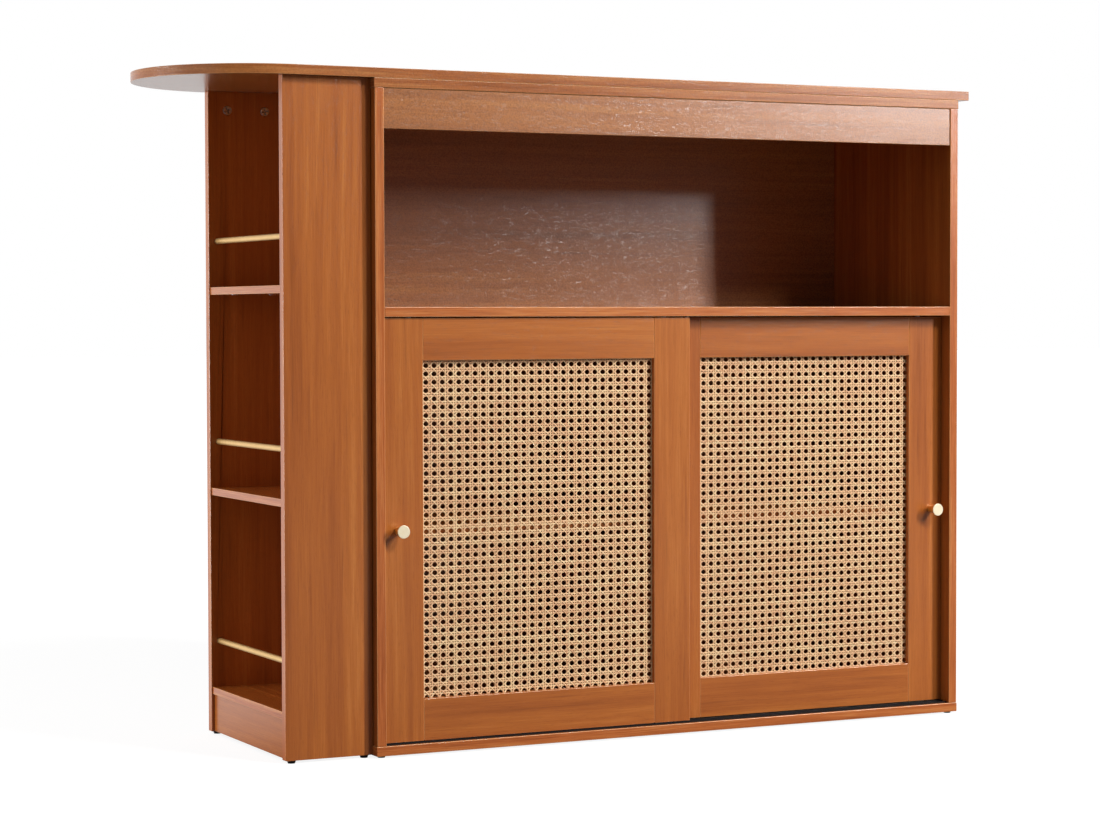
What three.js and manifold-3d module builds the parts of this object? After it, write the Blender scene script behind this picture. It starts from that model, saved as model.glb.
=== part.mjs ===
// Bar counter with shelves: a long worktop with one round end over a cabinet with an open
// compartment and two bypass sliding doors of woven cane, and a narrow open shelf unit at the end.
// Millimetres, +Z up. The doors face -Y and the round end points to -X. The origin is on the floor,
// under the middle of the whole object.

import * as THREE from 'three';
import { mergeVertices } from 'three/addons/utils/BufferGeometryUtils.js';
import Module from 'manifold-3d';

const wasm = await Module();
wasm.setup();

// Boards and fits
const BOARD = 15;
const SEAM = 0.1;
const FIT = 0.3;

// Worktop and cabinet
const WORKTOP_LENGTH = 1400;
const DEPTH = 380;
const HEIGHT = 1053;
const RIGHT_OVERHANG = 21;
const CABINET_LENGTH = 1066;
const SIDE_INSET = 1;
const CUPBOARD_HEIGHT = 657;
const APRON_HEIGHT = 61.5;
const APRON_RECESS = 2;
const INNER_SHELF_RISE = 317;
const INNER_SHELF_SETBACK = 60;

// End shelf unit
const END_WIDTH = 142.5;
const END_SETBACK = 16;
const END_REAR_SETBACK = 14;
const END_LIFT = 1.5;
const END_SHELF_BOARD = 12;
const END_SHELF_INSET = 2;
const END_SHELF_PITCH = 323;
const KICK_HEIGHT = 60;
const KICK_INSET = 3;
const KICK_LIFT = 0.5;
const RAIL_DIAMETER = 9.5;
const RAIL_RISE = 74.5;
const RAIL_EDGE = 15;
const RAIL_SOCKET = 6;

// Cam locks that draw the end unit's boards together
const CAM_DIAMETER = 15;
const CAM_DEPTH = 12;
const SHELF_CAM_DIAMETER = 12;
const SHELF_CAM_DEPTH = 9;
const CAM_PROUD = 0.5;
const CAM_REACH = 30;
const CAM_EDGE = 33;
const CAM_SPACING = 64;
const CAM_SLOT_WIDTH = 1.6;
const CAM_SLOT_DEPTH = 3;
const CAM_SLOT_SHARE = 0.7;

// Foot glides under the boards
const FOOT_HEIGHT = 3;
const FOOT_DIAMETER = 14;
const FOOT_TAPER = 1.5;
const FOOT_EDGE = 12;

// Sliding doors
const DOOR_THICKNESS = 15;
const DOOR_RECESS = 6;
const DOOR_GAP = 4;
const DOOR_OVERLAP = 35;
const DOOR_SIDE_GAP = 0.5;
const DOOR_FLOOR_GAP = 3.5;
const DOOR_TOP_GAP = 2;
const FRAME_WIDTH = 65;
const CANE_RECESS = 9;
const CANE_THICKNESS = 2;
const CANE_GROOVE = 8;
const CANE_PITCH = 43;
const CANE_HOLE = 25;
const CANE_MARGIN = 4;

// Knobs and their screws
const KNOB_LENGTH = 24;
const KNOB_BASE = 10.4;
const KNOB_FACE = 20.5;
const KNOB_RIM = 0.8;
const KNOB_EDGE = 22;
const SCREW_DIAMETER = 4;
const SCREW_HEAD = 8;
const SCREW_HEAD_HEIGHT = 2;
const SCREW_GRIP = 9;

// Track, shoes and guide pins
const TRACK_BASE = 1;
const TRACK_HEIGHT = 2.7;
const TRACK_WALL = 1.5;
const TRACK_CHANNEL = 10;
const SHOE_LENGTH = 30;
const SHOE_EDGE = 44;
const SHOE_CLEARANCE = 0.4;
const GUIDE_DIAMETER = 8;
const GUIDE_PLUG = 12;
const GUIDE_REACH = 4.5;
const GUIDE_SLOT_DEPTH = 6;
const GUIDE_CLEARANCE = 0.5;

// Round pieces are drawn with this many flats
const ROUND_SIDES = 20;
const WORKTOP_ARC_STEPS = 40;

// Places that several pieces share
const carcaseRight = WORKTOP_LENGTH / 2 - RIGHT_OVERHANG;
const carcaseLeft = carcaseRight - CABINET_LENGTH;
const endLeft = carcaseLeft - END_WIDTH;
const knobProud = KNOB_LENGTH + SEAM - DOOR_RECESS;
const front = (knobProud - DEPTH) / 2;
const carcaseTop = HEIGHT - FOOT_HEIGHT - BOARD;
const sideTop = carcaseTop - BOARD;
const sideOuter = [SIDE_INSET, CABINET_LENGTH - SIDE_INSET];
const sideInner = [sideOuter[0] + BOARD, sideOuter[1] - BOARD];
const backFront = DEPTH - BOARD;
const shelfUnder = BOARD + CUPBOARD_HEIGHT;
const shelfOver = shelfUnder + BOARD;
const doorFaces = [DOOR_RECESS, DOOR_RECESS + DOOR_THICKNESS + DOOR_GAP];
const doorCentres = doorFaces.map((face) => face + DOOR_THICKNESS / 2);
const doorSpace = sideInner[1] - sideInner[0] - 2 * DOOR_SIDE_GAP;
const doorWidth = (doorSpace + DOOR_OVERLAP) / 2;
const doorHeight = CUPBOARD_HEIGHT - DOOR_FLOOR_GAP - DOOR_TOP_GAP;
const guideSlotWidth = GUIDE_DIAMETER + 2 * GUIDE_CLEARANCE;

function finish(color, roughness, metalness = 0) {
  return () => new THREE.MeshStandardMaterial({ color, roughness, metalness });
}

const wood = finish(0xa45a2c, 0.45);
const darkWood = finish(0x8c4a24, 0.5);
const brass = finish(0xd8b76a, 0.3, 1);
const steel = finish(0x8d8f92, 0.35, 1);
const cane = finish(0xd9b98a, 0.7);
const blackPlastic = finish(0x17171a, 0.55);
const nylon = finish(0xe6e3da, 0.5);

function toSolid(geometry) {
  const bare = geometry.clone();
  bare.deleteAttribute('normal');
  bare.deleteAttribute('uv');
  const merged = mergeVertices(bare, 1e-4);
  const vertProperties = new Float32Array(merged.attributes.position.array);
  const triVerts = new Uint32Array(merged.index.array);
  return new wasm.Manifold(new wasm.Mesh({ numProp: 3, vertProperties, triVerts }));
}

function toGeometry(solid) {
  const mesh = solid.getMesh();
  const geometry = new THREE.BufferGeometry();
  geometry.setAttribute('position', new THREE.BufferAttribute(mesh.vertProperties, 3));
  geometry.setIndex(new THREE.BufferAttribute(mesh.triVerts, 1));
  return geometry;
}

// A rectangular block between two planes on each axis, as a geometry in the group's own places.
function block(x, y, z) {
  const geometry = new THREE.BoxGeometry(x[1] - x[0], y[1] - y[0], z[1] - z[0]);
  return geometry.translate((x[0] + x[1]) / 2, (y[0] + y[1]) / 2, (z[0] + z[1]) / 2);
}

// A round rod whose middle is at the origin, along Y or, if asked, along Z.
function rod(axis, diameter, length) {
  const geometry = new THREE.CylinderGeometry(diameter / 2, diameter / 2, length, ROUND_SIDES);
  if (axis === 'z') geometry.rotateX(Math.PI / 2);
  return geometry;
}

function piece(name, geometry, material, place = [0, 0, 0]) {
  const mesh = new THREE.Mesh(geometry, material());
  mesh.name = name;
  mesh.position.set(...place);
  return mesh;
}

// A board is placed by its middle, so its own geometry stays centred on it.
function board(name, x, y, z, material = wood) {
  const size = [x, y, z].map(([low, high]) => high - low);
  const middle = [x, y, z].map(([low, high]) => (low + high) / 2);
  return piece(name, new THREE.BoxGeometry(...size), material, middle);
}

// Takes cutters, given in the group's places, out of a mesh that stands in that group.
function carve(mesh, cutters) {
  const { x, y, z } = mesh.position;
  let solid = toSolid(mesh.geometry.clone().translate(x, y, z));
  for (const cutter of cutters) solid = solid.subtract(toSolid(cutter));
  mesh.geometry = toGeometry(solid).translate(-x, -y, -z);
  return mesh;
}

// A profile drawn in Y and Z, carried along +X from the origin.
function alongX(outline, length) {
  const geometry = new THREE.ExtrudeGeometry(outline, { depth: length, bevelEnabled: false });
  const turn = new THREE.Matrix4().makeBasis(
    new THREE.Vector3(0, 1, 0),
    new THREE.Vector3(0, 0, 1),
    new THREE.Vector3(1, 0, 0),
  );
  return geometry.applyMatrix4(turn);
}

// The worktop is one slab whose left end is a half circle as wide as the slab is deep.
function makeWorktop() {
  const radius = DEPTH / 2;
  const outline = new THREE.Shape();
  outline.moveTo(WORKTOP_LENGTH / 2, front);
  outline.lineTo(WORKTOP_LENGTH / 2, front + DEPTH);
  outline.lineTo(radius - WORKTOP_LENGTH / 2, front + DEPTH);
  outline.absarc(radius - WORKTOP_LENGTH / 2, front + radius, radius, Math.PI / 2, 1.5 * Math.PI);
  outline.closePath();
  const settings = { depth: BOARD, bevelEnabled: false, curveSegments: WORKTOP_ARC_STEPS };
  const slab = new THREE.ExtrudeGeometry(outline, settings);
  return piece('worktop', slab, wood, [0, 0, HEIGHT - BOARD]);
}

// The track is one plastic strip on the cupboard's floor, with a channel under each door.
function makeTrack() {
  const half = TRACK_CHANNEL / 2;
  const edges = [doorCentres[0] - half - TRACK_WALL, doorCentres[1] + half + TRACK_WALL];
  const outline = new THREE.Shape();
  outline.moveTo(edges[0], 0);
  outline.lineTo(edges[1], 0);
  outline.lineTo(edges[1], TRACK_HEIGHT);
  for (const centre of [doorCentres[1], doorCentres[0]]) {
    outline.lineTo(centre + half, TRACK_HEIGHT);
    outline.lineTo(centre + half, TRACK_BASE);
    outline.lineTo(centre - half, TRACK_BASE);
    outline.lineTo(centre - half, TRACK_HEIGHT);
  }
  outline.lineTo(edges[0], TRACK_HEIGHT);
  outline.closePath();
  const length = sideInner[1] - sideInner[0] - 2 * SEAM;
  const place = [sideInner[0] + SEAM, 0, BOARD + SEAM];
  return piece('bottom_track', alongX(outline, length), blackPlastic, place);
}

// A foot glide is a low tapered button, widest where it meets the board above it.
function footGlide(name, x, y, height = FOOT_HEIGHT) {
  const top = FOOT_DIAMETER / 2;
  const profile = [
    new THREE.Vector2(0, 0),
    new THREE.Vector2(top - FOOT_TAPER, 0),
    new THREE.Vector2(top, height - SEAM),
    new THREE.Vector2(0, height - SEAM),
  ];
  const geometry = new THREE.LatheGeometry(profile, ROUND_SIDES).rotateX(Math.PI / 2);
  return piece(name, geometry, blackPlastic, [x, y, -FOOT_HEIGHT]);
}

// The cabinet: its frame starts at the left front bottom corner of its bottom panel.
function makeCabinet() {
  const cabinet = new THREE.Group();
  cabinet.position.set(carcaseLeft, front, FOOT_HEIGHT);
  const whole = [0, CABINET_LENGTH];
  const deep = [0, DEPTH];
  const between = [sideInner[0] + SEAM, sideInner[1] - SEAM];
  const upright = [BOARD + SEAM, sideTop - SEAM];
  const left = [sideOuter[0], sideInner[0]];
  const right = [sideInner[1], sideOuter[1]];

  cabinet.add(board('cabinet_top_panel', whole, deep, [sideTop, carcaseTop - SEAM]));
  cabinet.add(board('cabinet_bottom_panel', whole, deep, [0, BOARD]));
  cabinet.add(board('cabinet_left_side', left, deep, upright));
  cabinet.add(board('cabinet_right_side', right, deep, upright));

  const slots = doorCentres.map((centre) => {
    const y = [centre - guideSlotWidth / 2, centre + guideSlotWidth / 2];
    return block([0, CABINET_LENGTH], y, [shelfUnder - BOARD, shelfUnder + GUIDE_SLOT_DEPTH]);
  });
  const shelf = board('middle_shelf', between, deep, [shelfUnder, shelfOver]);
  cabinet.add(carve(shelf, slots));

  const upperBack = [shelfOver + SEAM, sideTop - SEAM];
  const lowerBack = [BOARD + SEAM, shelfUnder - SEAM];
  cabinet.add(board('upper_back_panel', between, [backFront, DEPTH], upperBack, darkWood));
  cabinet.add(board('lower_back_panel', between, [backFront, DEPTH], lowerBack, darkWood));
  const apronDepth = [APRON_RECESS, APRON_RECESS + BOARD];
  cabinet.add(board('front_apron', between, apronDepth, [sideTop - APRON_HEIGHT, sideTop - SEAM]));

  const middle = CABINET_LENGTH / 2;
  const inside = [INNER_SHELF_SETBACK, backFront - SEAM];
  const divider = [middle - BOARD / 2, middle + BOARD / 2];
  cabinet.add(board('centre_divider', divider, inside, lowerBack, darkWood));
  const shelfLevel = [BOARD + INNER_SHELF_RISE, BOARD + INNER_SHELF_RISE + BOARD];
  const leftBay = [between[0], divider[0] - SEAM];
  const rightBay = [divider[1] + SEAM, between[1]];
  cabinet.add(board('inner_shelf_left', leftBay, inside, shelfLevel));
  cabinet.add(board('inner_shelf_right', rightBay, inside, shelfLevel));
  cabinet.add(makeTrack());

  const footRows = { front: FOOT_EDGE, rear: DEPTH - FOOT_EDGE };
  for (const [row, y] of Object.entries(footRows)) {
    cabinet.add(footGlide(`cabinet_foot_${row}_left`, FOOT_EDGE, y));
    cabinet.add(footGlide(`cabinet_foot_${row}_right`, CABINET_LENGTH - FOOT_EDGE, y));
  }
  return cabinet;
}

// A cam lock is a short drum in a blind bore, with a cross slot in its face. It is made with its
// face up at the origin, and the bore is the drum with its fit all round.
function camDrum(diameter, depth) {
  const length = depth + CAM_PROUD;
  const drum = toSolid(rod('z', diameter - 2 * FIT, length).translate(0, 0, CAM_PROUD - length / 2));
  const arm = (diameter * CAM_SLOT_SHARE) / 2;
  const half = CAM_SLOT_WIDTH / 2;
  const sunk = [CAM_PROUD - CAM_SLOT_DEPTH, CAM_PROUD + CAM_SLOT_DEPTH];
  const slot = toSolid(block([-arm, arm], [-half, half], sunk));
  const cross = toSolid(block([-half, half], [-arm, arm], sunk));
  return toGeometry(drum.subtract(slot.add(cross)));
}

function camBore(diameter, depth) {
  const length = depth + FIT + diameter;
  return rod('z', diameter, length).translate(0, 0, length / 2 - depth - FIT);
}

// The end unit: two uprights with three shelves, a kickboard and a gallery rail over each shelf.
// Its frame starts at the left front bottom corner of its front upright.
function makeEndUnit() {
  const unit = new THREE.Group();
  unit.position.set(endLeft, front + END_SETBACK, FOOT_HEIGHT);
  const depth = DEPTH - END_SETBACK - END_REAR_SETBACK;
  const inner = [BOARD, depth - BOARD];
  const upright = [END_LIFT, carcaseTop - SEAM];
  const kickLevel = [END_LIFT + KICK_LIFT, END_LIFT + KICK_LIFT + KICK_HEIGHT];
  const wide = [0, END_WIDTH - SEAM];
  const shelfRun = [END_SHELF_INSET, END_WIDTH + SIDE_INSET - SEAM];
  const shelfDepth = [inner[0] + SEAM, inner[1] - SEAM];
  const firstTop = kickLevel[1] + SEAM + END_SHELF_BOARD;
  const levels = { bottom: firstTop };
  levels.middle = levels.bottom + END_SHELF_PITCH;
  levels.upper = levels.middle + END_SHELF_PITCH;

  const camPlaces = { outer: CAM_EDGE, inner: CAM_EDGE + CAM_SPACING };
  const camLevel = upright[1] - CAM_REACH;
  const cuts = { front: [], rear: [], upper: [] };
  const faces = { front: inner[0], rear: inner[1] };
  const turns = { front: -Math.PI / 2, rear: Math.PI / 2 };

  for (const side of ['front', 'rear']) {
    for (const [row, x] of Object.entries(camPlaces)) {
      const place = [x, faces[side], camLevel];
      const drum = camDrum(CAM_DIAMETER, CAM_DEPTH).rotateX(turns[side]);
      unit.add(piece(`cam_lock_${side}_${row}`, drum, steel, place));
      cuts[side].push(camBore(CAM_DIAMETER, CAM_DEPTH).rotateX(turns[side]).translate(...place));

      const reach = side === 'front' ? CAM_REACH : -CAM_REACH;
      const under = [x, faces[side] + reach, levels.upper - END_SHELF_BOARD];
      const shelfDrum = camDrum(SHELF_CAM_DIAMETER, SHELF_CAM_DEPTH).rotateX(Math.PI);
      unit.add(piece(`shelf_cam_lock_${side}_${row}`, shelfDrum, steel, under));
      const shelfBore = camBore(SHELF_CAM_DIAMETER, SHELF_CAM_DEPTH).rotateX(Math.PI);
      cuts.upper.push(shelfBore.translate(...under));
    }
  }

  for (const [name, top] of Object.entries(levels)) {
    const shelf = board(`end_shelf_${name}`, shelfRun, shelfDepth, [top - END_SHELF_BOARD, top]);
    unit.add(name === 'upper' ? carve(shelf, cuts.upper) : shelf);

    const railPlace = [RAIL_EDGE, depth / 2, top + RAIL_RISE];
    const seat = inner[1] - inner[0] + 2 * RAIL_SOCKET;
    unit.add(piece(`gallery_rail_${name}`, rod('y', RAIL_DIAMETER, seat - 2 * FIT), brass, railPlace));
    const socket = rod('y', RAIL_DIAMETER + 2 * FIT, seat).translate(...railPlace);
    cuts.front.push(socket);
    cuts.rear.push(socket);
  }

  const frontUpright = board('end_front_panel', wide, [0, BOARD], upright);
  const rearUpright = board('end_rear_panel', wide, [inner[1], depth], upright);
  unit.add(carve(frontUpright, cuts.front));
  unit.add(carve(rearUpright, cuts.rear));

  const kickFace = END_SHELF_INSET + KICK_INSET;
  unit.add(board('kickboard', [kickFace, kickFace + BOARD], shelfDepth, kickLevel));

  const footRows = { front: BOARD / 2, rear: depth - BOARD / 2 };
  for (const [row, y] of Object.entries(footRows)) {
    const height = FOOT_HEIGHT + END_LIFT;
    unit.add(footGlide(`end_foot_${row}_outer`, FOOT_EDGE, y, height));
    unit.add(footGlide(`end_foot_${row}_inner`, END_WIDTH - FOOT_EDGE, y, height));
  }
  return unit;
}

// The cane sheet is a flat net: a thin sheet with rows of eight-sided gaps inside a plain border.
function caneSheet(width, height) {
  const outline = new THREE.Shape();
  outline.moveTo(0, 0);
  outline.lineTo(width, 0);
  outline.lineTo(width, height);
  outline.lineTo(0, height);
  outline.closePath();
  const border = CANE_GROOVE + CANE_MARGIN;
  const columns = Math.floor((width - 2 * border) / CANE_PITCH);
  const rows = Math.floor((height - 2 * border) / CANE_PITCH);
  const radius = CANE_HOLE / 2 / Math.cos(Math.PI / 8);
  for (let row = 0; row < rows; row += 1) {
    for (let column = 0; column < columns; column += 1) {
      const x = width / 2 + (column - (columns - 1) / 2) * CANE_PITCH;
      const y = height / 2 + (row - (rows - 1) / 2) * CANE_PITCH;
      const gap = new THREE.Path();
      for (let corner = 0; corner < 8; corner += 1) {
        const angle = ((2 * corner + 1) * Math.PI) / 8;
        const point = [x + radius * Math.cos(angle), y + radius * Math.sin(angle)];
        if (corner === 0) gap.moveTo(...point);
        else gap.lineTo(...point);
      }
      gap.closePath();
      outline.holes.push(gap);
    }
  }
  const sheet = new THREE.ExtrudeGeometry(outline, { depth: CANE_THICKNESS, bevelEnabled: false });
  return sheet.rotateX(Math.PI / 2).translate(0, CANE_THICKNESS, 0);
}

// The knob is turned: a narrow foot that flares to a flat face with a small bevelled rim. Its foot
// stands on the origin, it points to -Y, and a blind hole in the foot takes the screw.
function knobBody() {
  const foot = KNOB_BASE / 2;
  const face = KNOB_FACE / 2;
  const profile = [
    new THREE.Vector2(0, 0),
    new THREE.Vector2(foot, 0),
    new THREE.Vector2(foot + (face - foot) * 0.1, KNOB_LENGTH * 0.35),
    new THREE.Vector2(foot + (face - foot) * 0.4, KNOB_LENGTH * 0.65),
    new THREE.Vector2(face, KNOB_LENGTH - 2 * KNOB_RIM),
    new THREE.Vector2(face, KNOB_LENGTH - KNOB_RIM),
    new THREE.Vector2(face - KNOB_RIM, KNOB_LENGTH),
    new THREE.Vector2(0, KNOB_LENGTH),
  ];
  const turned = new THREE.LatheGeometry(profile, ROUND_SIDES).rotateX(Math.PI);
  const hole = rod('y', SCREW_DIAMETER + 2 * FIT, 2 * (SCREW_GRIP + FIT));
  return toGeometry(toSolid(turned).subtract(toSolid(hole)));
}

// A screw from behind: its head on the back of the stile, its shank through it into the knob.
function knobScrew() {
  const shank = DOOR_THICKNESS + SCREW_GRIP + SEAM;
  const head = rod('y', SCREW_HEAD, SCREW_HEAD_HEIGHT).translate(0, SCREW_HEAD_HEIGHT / 2 + SEAM, 0);
  const stem = rod('y', SCREW_DIAMETER, shank + SEAM).translate(0, (SEAM - shank) / 2 + SEAM, 0);
  return toGeometry(toSolid(head).add(toSolid(stem)));
}

// A shoe under the door is a low nylon block with round ends, which runs in the track's channel.
function shoeBody(height) {
  const half = TRACK_CHANNEL / 2 - SHOE_CLEARANCE;
  const straight = SHOE_LENGTH / 2 - half;
  const outline = new THREE.Shape();
  outline.moveTo(-straight, -half);
  outline.lineTo(straight, -half);
  outline.absarc(straight, 0, half, -Math.PI / 2, Math.PI / 2);
  outline.lineTo(-straight, half);
  outline.absarc(-straight, 0, half, Math.PI / 2, 1.5 * Math.PI);
  outline.closePath();
  return new THREE.ExtrudeGeometry(outline, { depth: height, bevelEnabled: false, curveSegments: 8 });
}

// A door: two full-height stiles with two rails between them, a groove all round that holds the
// cane, a knob near its outer edge, shoes below and guide pins above. Its frame starts at its left
// front bottom corner.
function makeDoor(name, x, y, knobX) {
  const door = new THREE.Group();
  door.position.set(carcaseLeft + x, front + y, FOOT_HEIGHT + BOARD + DOOR_FLOOR_GAP);
  const thick = [0, DOOR_THICKNESS];
  const opening = [FRAME_WIDTH, doorWidth - FRAME_WIDTH];
  const openingHeight = [FRAME_WIDTH, doorHeight - FRAME_WIDTH];

  const sheetWidth = opening[1] - opening[0] + 2 * (CANE_GROOVE - FIT);
  const sheetHeight = openingHeight[1] - openingHeight[0] + 2 * (CANE_GROOVE - FIT);
  const sheetPlace = [opening[0] - CANE_GROOVE + FIT, CANE_RECESS, openingHeight[0] - CANE_GROOVE + FIT];
  door.add(piece(`${name}_cane`, caneSheet(sheetWidth, sheetHeight), cane, sheetPlace));
  const groove = block(
    [opening[0] - CANE_GROOVE, opening[1] + CANE_GROOVE],
    [CANE_RECESS - FIT, CANE_RECESS + CANE_THICKNESS + FIT],
    [openingHeight[0] - CANE_GROOVE, openingHeight[1] + CANE_GROOVE],
  );

  const knobPlace = [knobX, 0, doorHeight / 2];
  const screwHole = rod('y', SCREW_DIAMETER + 2 * FIT, 4 * DOOR_THICKNESS).translate(...knobPlace);
  const ends = [SHOE_EDGE, doorWidth - SHOE_EDGE];
  const middle = DOOR_THICKNESS / 2;
  const plugs = ends.map((end) => {
    const plug = rod('z', GUIDE_DIAMETER + 2 * FIT, 2 * (GUIDE_PLUG + FIT));
    return plug.translate(end, middle, doorHeight);
  });

  const cutters = [groove, screwHole, ...plugs];
  const full = [0, doorHeight];
  const railRun = [opening[0] + SEAM, opening[1] - SEAM];
  door.add(carve(board(`${name}_left_stile`, [0, FRAME_WIDTH], thick, full), cutters));
  door.add(carve(board(`${name}_right_stile`, [opening[1], doorWidth], thick, full), cutters));
  door.add(carve(board(`${name}_bottom_rail`, railRun, thick, [0, FRAME_WIDTH]), [groove]));
  const topRail = board(`${name}_top_rail`, railRun, thick, [openingHeight[1], doorHeight]);
  door.add(carve(topRail, [groove]));

  door.add(piece(`${name}_knob`, knobBody(), brass, [knobX, -SEAM, doorHeight / 2]));
  const screwPlace = [knobX, DOOR_THICKNESS, doorHeight / 2];
  door.add(piece(`${name}_knob_screw`, knobScrew(), steel, screwPlace));

  const channelFloor = TRACK_BASE + SEAM - DOOR_FLOOR_GAP;
  const shoeHeight = -channelFloor - 2 * SEAM;
  const guideLength = GUIDE_PLUG + DOOR_TOP_GAP + GUIDE_REACH;
  ends.forEach((end, index) => {
    const side = ['left', 'right'][index];
    const shoePlace = [end, middle, channelFloor + SEAM];
    door.add(piece(`${name}_${side}_shoe`, shoeBody(shoeHeight), nylon, shoePlace));
    const guidePlace = [end, middle, doorHeight - GUIDE_PLUG + guideLength / 2];
    door.add(piece(`${name}_${side}_guide`, rod('z', GUIDE_DIAMETER, guideLength), nylon, guidePlace));
  });
  return door;
}

const counter = new THREE.Group();
counter.name = 'bar_counter';
counter.add(makeWorktop());
counter.add(makeCabinet());
counter.add(makeEndUnit());
const leftDoorX = sideInner[0] + DOOR_SIDE_GAP;
const rightDoorX = sideInner[1] - DOOR_SIDE_GAP - doorWidth;
counter.add(makeDoor('left_door', leftDoorX, doorFaces[0], KNOB_EDGE));
counter.add(makeDoor('right_door', rightDoorX, doorFaces[1], doorWidth - KNOB_EDGE));

export default counter;
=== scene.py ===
"""Bar counter with shelves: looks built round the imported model.

The sections follow the order in which the counter is put together."""

import itertools

import bpy
import numpy as np
from mathutils import Matrix, Vector


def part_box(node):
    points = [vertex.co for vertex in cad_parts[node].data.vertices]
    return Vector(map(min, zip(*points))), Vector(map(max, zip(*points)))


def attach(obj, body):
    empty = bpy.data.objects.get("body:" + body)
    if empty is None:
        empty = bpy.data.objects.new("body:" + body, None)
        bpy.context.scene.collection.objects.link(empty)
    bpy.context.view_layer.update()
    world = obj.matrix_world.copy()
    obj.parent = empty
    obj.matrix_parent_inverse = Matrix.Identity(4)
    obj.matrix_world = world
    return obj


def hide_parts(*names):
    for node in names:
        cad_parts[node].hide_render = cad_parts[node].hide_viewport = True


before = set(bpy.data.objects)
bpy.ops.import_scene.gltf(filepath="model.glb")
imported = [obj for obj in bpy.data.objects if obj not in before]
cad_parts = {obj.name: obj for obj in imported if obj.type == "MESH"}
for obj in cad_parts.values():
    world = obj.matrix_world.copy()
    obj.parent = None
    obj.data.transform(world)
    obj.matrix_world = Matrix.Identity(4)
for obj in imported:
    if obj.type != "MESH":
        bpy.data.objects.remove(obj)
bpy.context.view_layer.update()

# Cabinet floor: one 15 mm chipboard panel faced with a cherry print foil. All four edges are banded
# with a thin strip whose corners are scraped to a small round. It is the first board on the bench.


def paint(code):
    """A colour written as a hex code, turned to linear light by the usual screen curve."""
    level = np.array([int(code[i : i + 2], 16) for i in (0, 2, 4)]) / 255
    linear = np.where(level <= 0.04045, level / 12.92, ((level + 0.055) / 1.055) ** 2.4)
    return (*linear.tolist(), 1.0)


class Wire:
    """One output of a shader node. Sums and products of wires and numbers add Math nodes."""

    def __init__(self, tree, socket=None):
        self.tree, self.socket = tree, socket

    def add(self, kind, settings=None, inputs=None, out=0):
        """Adds a node of a type: its settings first, then its sockets' values or wires."""
        node = self.tree.nodes.new("ShaderNode" + kind)
        for key, value in (settings or {}).items():
            if key == "stops":
                ramp = node.color_ramp.elements
                while len(ramp) < len(value):
                    ramp.new(0.5)
                for stop, (place, code) in zip(ramp, value):
                    stop.position, stop.color = place, paint(code)
            else:
                setattr(node, key, value)
        for key, value in (inputs or {}).items():
            if isinstance(value, Wire):
                self.tree.links.new(value.socket, node.inputs[key])
            else:
                node.inputs[key].default_value = value
        return Wire(self.tree, node.outputs[out])

    def out(self, name):
        """Another output of the same node."""
        return Wire(self.tree, self.socket.node.outputs[name])

    def math(self, operation, first, second=0.0, third=0.0, clamp=False):
        """A Math node on up to three numbers or wires, held between 0 and 1 where it is clamped."""
        settings = {"operation": operation, "use_clamp": clamp}
        return self.add("Math", settings, {0: first, 1: second, 2: third})

    def __add__(self, other):
        return self.math("ADD", self, other)

    def __mul__(self, other):
        return self.math("MULTIPLY", self, other)

    def __sub__(self, other):
        return self.math("SUBTRACT", self, other)

    def __rsub__(self, other):
        return self.math("SUBTRACT", other, self)

    __radd__ = __add__
    __rmul__ = __mul__

    def mix(self, share, first, second):
        """A colour that goes from first to second as share goes from 0 to 1."""
        settings = {"data_type": "RGBA", "clamp_factor": True}
        return self.add("Mix", settings, {0: share, 6: first, 7: second}, out=2)

    def blend(self, first, second):
        """The mix of two colours with this wire as the share."""
        return self.mix(self, first, second)


def finish(name, recipe):
    """A material whose Principled shader takes the numbers and wires that the recipe gives."""
    material = bpy.data.materials.new(name)
    material.use_nodes = True
    tree = material.node_tree
    shader = tree.nodes["Principled BSDF"]
    for socket, value in recipe(Wire(tree)).items():
        if isinstance(value, Wire):
            tree.links.new(value.socket, shader.inputs[socket])
        else:
            shader.inputs[socket].default_value = value
    return material


FACE_TONES = [(0.33, "884617"), (0.45, "a15620"), (0.55, "ae6125"), (0.69, "c37836")]
EDGE_TONES = [(0.36, "984b1b"), (0.5, "b3602a"), (0.64, "c67c41")]
# The pale tone paints a highlight on arrises; the dark one dulls and paints a speckle of sheen.
MARK_BROWN, ARRIS_HIGHLIGHT_PALE, GREYED_BEIGE, DULLED_AND_SPECKLE_DARK = "6b3516", "e2a062", "94805a", "2c170c"
LINE_WANDER = 0.016
PORE_FROM, PORE_GAIN, PORE_SHARE = 0.6, 6.0, 0.45
VEIN_FROM, VEIN_GAIN, VEIN_SHARE = 0.64, 7.0, 0.48
ARRIS_HIGHLIGHT_SHARE = 0.7
FIBRE_HEIGHT, STIPPLE_HEIGHT = 0.4, 1.6


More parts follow.
